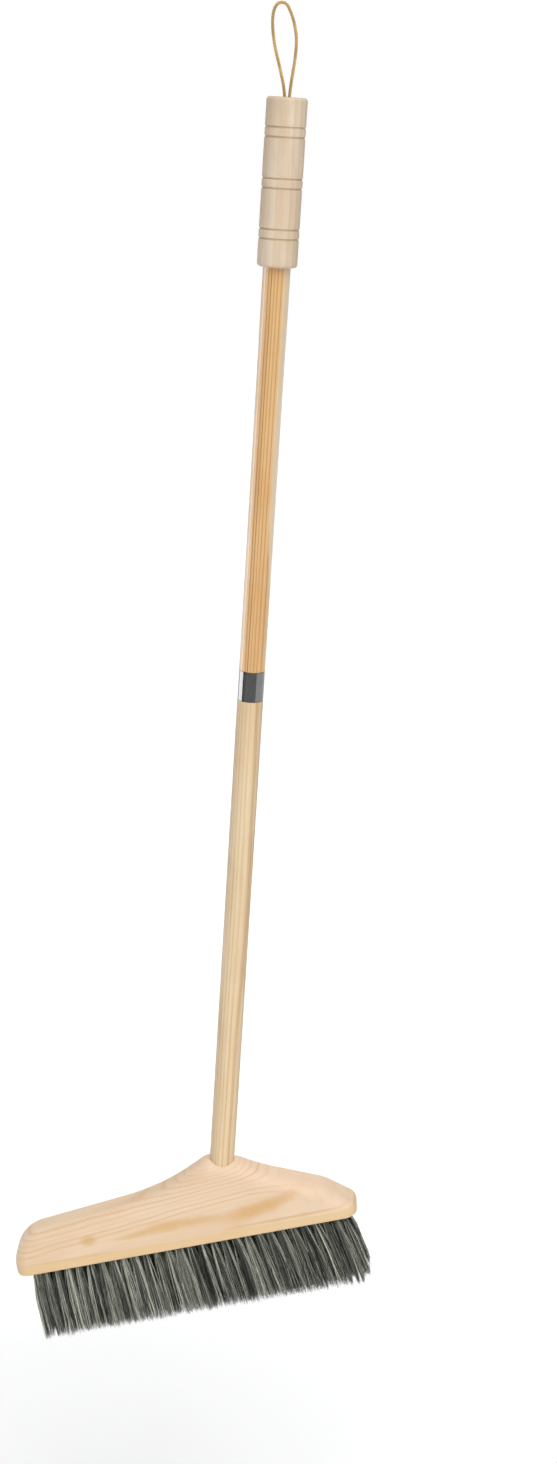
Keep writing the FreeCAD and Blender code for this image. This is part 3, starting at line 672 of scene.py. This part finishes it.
spaced = math_node(tree, "MULTIPLY", widening, 0.003)
rings = use_group(tree, ring_group, Distance=spaced, Vector=grain, Spacing=0.0026, Wander=0.0007,
                  Wander_Length=0.05, Early_Share=0.45)
colour = mixed(tree, fibre["Drift"], linear(228, 202, 172), linear(222, 192, 158))
# Painted light: the rounded crest, high and to the right, is lightened and pinked where it faces up to the
# light.
painted_crest_light = ramp(tree, math_node(tree, "ADD", axes["Z"], math_node(tree, "MULTIPLY", axes["X"], 0.46)),
                      0.050, 0.062)
colour = tinted(tree, colour, painted_crest_light, 0.6, 232, 202, 176)
late_share = late_wood(tree, rings, 0.25, 0.65)
low_and_right = math_node(tree, "SUBTRACT", axes["X"], math_node(tree, "MULTIPLY", axes["Z"], 0.8))
plain = math_node(tree, "MULTIPLY", ramp(tree, hill, 0.006, 0.017, 0.3, 1.0),
                  ramp(tree, low_and_right, 0.0, 0.04, 1.0, 0.25))
plain = math_node(tree, "MULTIPLY", plain, ramp(tree, axes["Z"], 0.004, 0.022, 0.25, 1.0))
plain = math_node(tree, "MULTIPLY", plain, ramp(tree, axes["Z"], 0.048, 0.060, 1.0, 0.4))
colour = mixed(tree, math_node(tree, "MULTIPLY", late_share, plain), colour, linear(212, 168, 124))
colour = tinted(tree, colour, fibre["Streaks"], 0.22, 238, 216, 190)
colour = tinted(tree, colour, fibre["Pores"], 0.14, 196, 152, 106)
uneven = place(tree, "ShaderNodeTexNoise", {"Vector": grain, "Scale": 55.0, "Detail": 3.0}).outputs[0]
for (stain_u, stain_w), (half_u, half_w), lean, strength, tint in STAINS:
    turned = object_vector(tree, (base_point[0] + stain_u * along[0] + stain_w * up[0], 0.0,
                                  base_point[2] + stain_u * along[2] + stain_w * up[2]), base_tilt + lean)
    spot = distance_from(tree, turned, (0.0, 0.0, 0.0), (1 / half_u, 4.0, 1 / half_w))
    ragged = math_node(tree, "MULTIPLY", math_node(tree, "SUBTRACT", uneven, 0.5), 0.9)
    spot = math_node(tree, "ADD", spot, ragged)
    colour = mixed(tree, ramp(tree, spot, 0.2, 1.35, strength, 0.0), colour, linear(*tint))
# Painted shade: the narrow upright band along the bottom is darkened and yellowed, as it faces the light less
# than the sloped face above.
painted_lower_band_shade = ramp(tree, math_node(tree, "ADD", axes["Z"], math_node(tree, "MULTIPLY", uneven, 0.002)),
                  0.0078, 0.0092, 1.0, 0.0)
colour = tinted(tree, colour, painted_lower_band_shade, 0.6, 222, 188, 134)
colour = tinted(tree, colour, marks["Smudge"], 0.08, 200, 172, 136)
tree.links.new(colour, shader.inputs["Base Color"])
dull(tree, shader, marks, 0.54, 0.14)
roughen(tree, shader, fibre["Height"], strength=0.22, depth=0.0001)
paint("head_block", board_pine)


# ---------------------------------------------------------------- bristles
# Soft hair, a mix of light, grey and dark strands, folded over an anchor and driven into each hole. Strands
# of a tuft cling in small wisps, lean their own way, and are trimmed together at the tips.
def gathered(points):
    """Middles of the groups that points form along the base, left to right, as along, across and up."""
    local = np.stack([points @ along, points[:, 1], points @ up], axis=1)
    local = local[np.argsort(local[:, 0])]
    groups = np.split(local, np.nonzero(np.diff(local[:, 0]) > GROUP_GAP)[0] + 1)
    return np.array([(group.min(0) + group.max(0)) / 2 for group in groups])


GROUP_GAP = 0.0015
LEVEL_MATCH = 0.0002
STRANDS_PER_TUFT = 180
WISPS_PER_TUFT = 56
STRAND_WIDTH = 0.0003
STRAND_STATIONS = (0.0, 0.12, 0.45, 0.9, 1.0)
STRAND_RINGS = len(STRAND_STATIONS)
STRAND_SIDES = 3
TAPER_STATIONS, TAPER_SHARES = (0.0, 0.3, 0.9, 1.0), (1.0, 1.0, 0.85, 0.2)
ROOT_SPREAD = 0.0022
WISP_SPREAD = 0.0060
STRAND_SPREAD = 0.00035
ROOT_DEPTH = 0.003
END_REACH = 0.012
END_SPREAD = 0.0004
ROOT_SCATTER = 0.0004
TIP_SCATTER = 0.0006
WISP_FLATNESS = 0.75
WISP_TRIM = 0.0004
STRAND_TRIM = 0.0009
LONGEST = 0.0006
BOW = 0.0008
BOW_OUT = 0.15
FAN_OUT = 1.5
PALE_BELOW, GREY_BELOW = 0.2, 0.62
PALE, GREY, DARK = 0.9, 0.45, 0.05
WISP_TONE = 0.42
STRAND_TONE = 0.08
random = np.random.default_rng(61)

hair, tree, shader = new_material("mixed_soft_hair", Roughness=0.5)
tone = place(tree, "ShaderNodeAttribute", attribute_name="strand_tone").outputs["Fac"]
run = place(tree, "ShaderNodeAttribute", attribute_name="strand_run").outputs["Fac"]
where = place(tree, "ShaderNodeTexCoord").outputs["Object"]
mottle = place(tree, "ShaderNodeTexNoise", {"Vector": where, "Scale": 700.0, "Detail": 2.0}).outputs[0]
colour = mixed(tree, ramp(tree, tone, 0.0, 0.5), linear(20, 20, 18), linear(112, 114, 104))
colour = mixed(tree, ramp(tree, tone, 0.5, 1.0), colour, linear(240, 241, 222))
colour = mixed(tree, ramp(tree, run, 0.8, 1.0, 0.0, 0.35), colour, linear(150, 149, 144))
# Painted shade: strands darken towards their roots, in the shade under the block.
colour = mixed(tree, ramp(tree, run, 0.0, 0.25, 0.3, 0.0), colour, linear(70, 72, 62))
colour = mixed(tree, ramp(tree, mottle, 0.35, 0.75, 0.0, 0.3), colour, linear(84, 86, 78))
tree.links.new(colour, shader.inputs["Base Color"])


def disc(count, radius):
    """Random places on a flat disc, as along and across."""
    distance, angle = radius * np.sqrt(random.random(count)), 2 * math.pi * random.random(count)
    return np.stack([distance * np.cos(angle), distance * np.sin(angle)], axis=1)


def hair_mesh(name, row_number):
    """All the strands of one row's tufts as one mesh of slim three-sided tapers."""
    solid = points_of("bristle_row_%d" % row_number)
    heights = solid @ up
    roots = gathered(solid[np.abs(heights - base_offset) < LEVEL_MATCH])
    ends = gathered(solid[heights < heights.min() + LEVEL_MATCH])
    lines, tones = [], []
    share = np.array(STRAND_STATIONS)
    left, right = roots[0, 0], roots[-1, 0]
    for root, end in zip(roots, ends):
        wisp = random.integers(0, WISPS_PER_TUFT, STRANDS_PER_TUFT)
        wisp_place = disc(WISPS_PER_TUFT, WISP_SPREAD) * (1.0, WISP_FLATNESS)
        wisp_short = random.normal(0, WISP_TRIM, WISPS_PER_TUFT)
        wisp_tone = random.normal(0, WISP_TONE, WISPS_PER_TUFT)
        to_left = END_SPREAD if root[0] - left < END_REACH else WISP_SPREAD
        to_right = END_SPREAD if right - root[0] < END_REACH else WISP_SPREAD
        wisp_place[:, 0] = np.clip(wisp_place[:, 0], -to_left, to_right)
        wisp_root = wisp_place * ROOT_SPREAD / WISP_SPREAD
        start = np.column_stack([root[:2] + wisp_root[wisp] + disc(STRANDS_PER_TUFT, ROOT_SCATTER),
                                 np.full(STRANDS_PER_TUFT, base_offset + ROOT_DEPTH)])
        lift = np.abs(random.normal(0, STRAND_TRIM, STRANDS_PER_TUFT)) + wisp_short[wisp]
        stop = np.column_stack([end[:2] + wisp_place[wisp] + disc(STRANDS_PER_TUFT, STRAND_SPREAD)
                                + random.normal(0, TIP_SCATTER, (STRANDS_PER_TUFT, 2)),
                                end[2] + np.maximum(lift, -LONGEST)])
        swell = random.normal(0, BOW, (STRANDS_PER_TUFT, 2)) + BOW_OUT * (start[:, :2] - root[:2])
        line = start[:, None] + (stop - start)[:, None] * share[None, :, None]
        opened = 1 - (1 - share) ** FAN_OUT
        line[:, :, :2] += (stop - start)[:, None, :2] * (opened - share)[None, :, None]
        line[:, :, :2] += swell[:, None] * np.sin(math.pi * share)[None, :, None]
        kind = random.random(STRANDS_PER_TUFT)
        tone_value = np.where(kind < PALE_BELOW, PALE, np.where(kind < GREY_BELOW, GREY, DARK))
        tone_value += wisp_tone[wisp] + random.normal(0, STRAND_TONE, STRANDS_PER_TUFT)
        lines.append(line)
        tones.append(np.clip(tone_value, 0, 1))
    lines = np.concatenate(lines)
    tones = np.concatenate(tones)
    taper = np.interp(share, TAPER_STATIONS, TAPER_SHARES) * STRAND_WIDTH / 2
    width = taper[None, :] * random.uniform(0.75, 1.25, len(lines))[:, None]
    corner = np.arange(STRAND_SIDES)
    spin = random.uniform(0, 2 * math.pi, len(lines))[:, None] + corner[None, :] * 2 * math.pi / STRAND_SIDES
    offset = np.stack([np.cos(spin), np.sin(spin), np.zeros_like(spin)], axis=2)
    local = lines[:, :, None] + width[:, :, None, None] * offset[:, None]
    places = (local[..., 0:1] * along + local[..., 1:2] * np.array([0.0, 1.0, 0.0]) + local[..., 2:3] * up)
    strand_count = len(lines)
    per_strand = STRAND_RINGS * STRAND_SIDES
    here = ((np.arange(strand_count) * per_strand)[:, None, None]
            + (np.arange(STRAND_RINGS - 1) * STRAND_SIDES)[None, :, None])
    there = here + STRAND_SIDES
    after = (corner + 1) % STRAND_SIDES
    quads = np.stack([here + corner, there + corner, there + after, here + after], axis=-1).reshape(-1, 4)
    mesh = bpy.data.meshes.new(name)
    mesh.vertices.add(strand_count * per_strand)
    mesh.vertices.foreach_set("co", places.astype(np.float32).ravel())
    mesh.loops.add(quads.size)
    mesh.loops.foreach_set("vertex_index", quads.astype(np.int32).ravel())
    mesh.polygons.add(len(quads))
    mesh.polygons.foreach_set("loop_start", np.arange(0, quads.size, 4, dtype=np.int32))
    mesh.update(calc_edges=True)
    mesh.polygons.foreach_set("use_smooth", np.ones(len(quads), bool))
    mesh.attributes.new("strand_tone", "FLOAT", "POINT").data.foreach_set(
        "value", np.repeat(tones, per_strand).astype(np.float32))
    mesh.attributes.new("strand_run", "FLOAT", "POINT").data.foreach_set(
        "value", np.tile(np.repeat(share, STRAND_SIDES), strand_count).astype(np.float32))
    mesh.validate()
    return mesh


for row_number in range(1, ROWS + 1):
    label = "soft_bristles_%d" % row_number
    row = put_in_scene(label, hair_mesh(label, row_number), hair)
    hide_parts("bristle_row_%d" % row_number)
    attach(row, "lower_half")

# ---------------------------------------------------------------- anchors
# Short lengths of flat wire, cut and driven with each tuft. They stay at the bottom of the holes, out of
# sight.
flat_wire, tree, shader = new_material("flat_wire", Metallic=1.0, Roughness=0.4)
marks = use_group(tree, handling_group, Vector=object_vector(tree), Patch_Size=0.002)
colour = mixed(tree, marks["Smudge"], (0.55, 0.55, 0.55, 1), (0.32, 0.30, 0.28, 1))
tree.links.new(colour, shader.inputs["Base Color"])
for row_number in range(1, ROWS + 1):
    paint("anchors_row_%d" % row_number, flat_wire)
